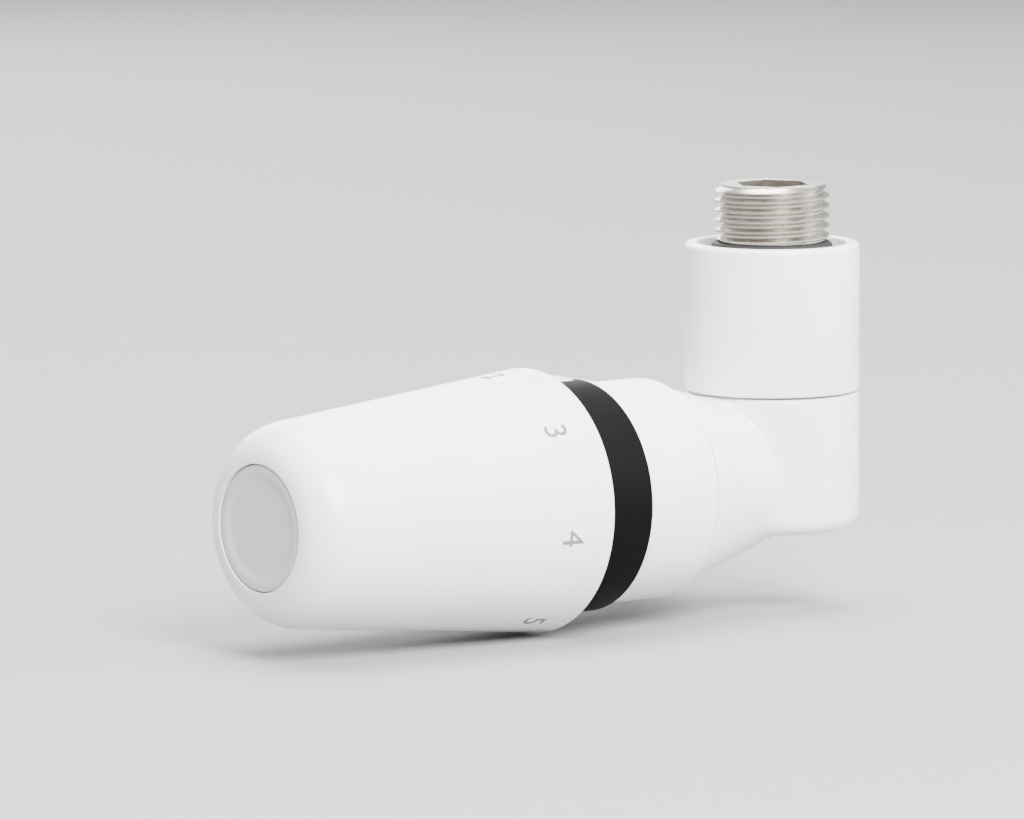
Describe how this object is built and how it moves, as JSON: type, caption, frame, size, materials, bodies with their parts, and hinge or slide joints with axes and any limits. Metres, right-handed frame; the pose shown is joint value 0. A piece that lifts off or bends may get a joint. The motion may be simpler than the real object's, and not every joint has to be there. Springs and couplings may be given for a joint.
{
  "type": "thermostatic radiator valve",
  "caption": "White corner thermostatic radiator valve: tapering sensor head on a black ring, white collar, vertical body under the radiator, inlet towards the wall.",
  "frame": {"origin": "on the tail's axis where its thread starts, at the radiator's underside", "axes": "+Z along the tail up into the radiator, +Y along the inlet towards the wall, -X along the head away from the body"},
  "size_m": [0.1345, 0.0719, 0.0774],
  "materials": {
    "white_coated_brass": "smooth white enamel coating",
    "nickel_plated_brass": "satin nickel plating",
    "plain_brass": "turned",
    "stainless_steel": "ground",
    "spring_steel": "drawn wire",
    "aluminium_can": "drawn",
    "black_rubber": "moulded",
    "grey_fibre": "pressed fibre",
    "black_plastic": "fine matt moulding",
    "grey_plastic": "moulded",
    "white_plastic": "smooth semi-gloss moulding",
    "soft_white_plastic": "fine matt moulding"
  },
  "bodies": {
    "valve": {"valve_body": "white_coated_brass", "union_nut": "white_coated_brass", "radiator_tail": "nickel_plated_brass", "tail_gasket": "grey_fibre", "tail_seal_ring": "black_rubber", "inlet_olive": "plain_brass", "inlet_nut": "nickel_plated_brass", "inlet_cover": "white_coated_brass", "insert_housing": "plain_brass", "insert_o_ring": "black_rubber", "spring_retainer": "plain_brass", "gland_o_ring": "black_rubber", "gland_nut": "plain_brass", "return_spring": "spring_steel", "head_union_nut": "white_coated_brass", "head_base": "black_plastic", "index_mark": "white_plastic", "snap_ring": "spring_steel"},
    "cap": {"cap_shell": "white_plastic", "cap_end_disc": "soft_white_plastic", "thread_sleeve": "grey_plastic"},
    "carrier": {"sensor_carrier": "grey_plastic", "sensor_ring": "spring_steel", "over_travel_spring": "spring_steel"},
    "sensor": {"sensor_can": "aluminium_can", "sensor_plate": "aluminium_can", "sensor_bellows": "plain_brass"},
    "spindle_group": {"spindle": "stainless_steel", "disc_nut": "plain_brass", "seal_disc": "black_rubber", "disc_holder": "plain_brass", "spring_plate": "stainless_steel", "push_pin": "stainless_steel", "pressure_button": "grey_plastic", "sensor_pin": "stainless_steel"}
  },
  "joints": [
    {"name": "cap_turn", "type": "hinge", "parent": "valve", "child": "cap", "pos_m": [-0.0613, 0, -0.0435], "axis": [-1, 0, 0], "range_deg": [-150, 150]},
    {"name": "carrier_travel", "type": "slide", "parent": "valve", "child": "carrier", "axis": [-1, 0, 0], "range_m": [-0.00125, 0.00125]},
    {"name": "sensor_over_travel", "type": "slide", "parent": "carrier", "child": "sensor", "axis": [-1, 0, 0], "range_m": [0, 0.0015], "stiffness_N_per_m": 20000, "deforming": ["over_travel_spring"]},
    {"name": "sensor_stroke", "type": "slide", "parent": "sensor", "child": "spindle_group", "axis": [1, 0, 0], "range_m": [-0.0005, 0.0009], "stiffness_N_per_m": 8000, "deforming": ["return_spring", "sensor_bellows"]}
  ],
  "couplings": [
    {"joint": "cap_turn", "follows": "carrier_travel", "rad_per_m": 2094}
  ]
}
